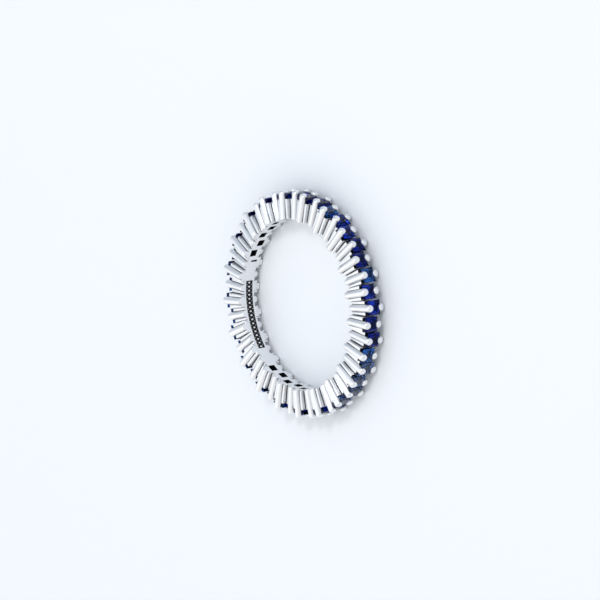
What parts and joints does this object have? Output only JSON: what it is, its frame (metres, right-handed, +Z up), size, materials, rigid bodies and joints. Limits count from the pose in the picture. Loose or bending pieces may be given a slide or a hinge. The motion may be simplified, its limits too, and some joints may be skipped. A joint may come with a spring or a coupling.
{
  "type": "eternity ring",
  "caption": "Eternity ring of open metal boxes set all round with square-cut blue stones, every second box moved sideways, each stone held by two hooked prongs.",
  "frame": {"origin": "on the axis of the finger hole, on the floor that the ring lies on", "axes": "+Z up along the axis of the finger hole, the ring lying on its side; -Y towards the stone that the picture shows nearest the camera"},
  "size_m": [0.0226, 0.0226, 0.0028],
  "materials": {
    "white_gold": "polished, rhodium plated white gold",
    "sapphire": "polished cut stone, deep blue"
  },
  "bodies": {
    "root": {"setting": "white_gold", "stone_01": "sapphire", "stone_02": "sapphire", "stone_03": "sapphire", "stone_04": "sapphire", "stone_05": "sapphire", "stone_06": "sapphire", "stone_07": "sapphire", "stone_08": "sapphire", "stone_09": "sapphire", "stone_10": "sapphire", "stone_11": "sapphire", "stone_12": "sapphire", "stone_13": "sapphire", "stone_14": "sapphire", "stone_15": "sapphire", "stone_16": "sapphire", "stone_17": "sapphire", "stone_18": "sapphire", "stone_19": "sapphire", "stone_20": "sapphire", "stone_21": "sapphire", "stone_22": "sapphire", "stone_23": "sapphire", "stone_24": "sapphire", "stone_25": "sapphire", "stone_26": "sapphire", "stone_27": "sapphire", "stone_28": "sapphire", "stone_29": "sapphire", "stone_30": "sapphire", "stone_31": "sapphire", "stone_32": "sapphire", "stone_33": "sapphire", "stone_34": "sapphire", "stone_35": "sapphire", "stone_36": "sapphire", "stone_37": "sapphire", "stone_38": "sapphire", "stone_39": "sapphire", "stone_40": "sapphire", "stone_41": "sapphire", "stone_42": "sapphire"}
  },
  "joints": []
}
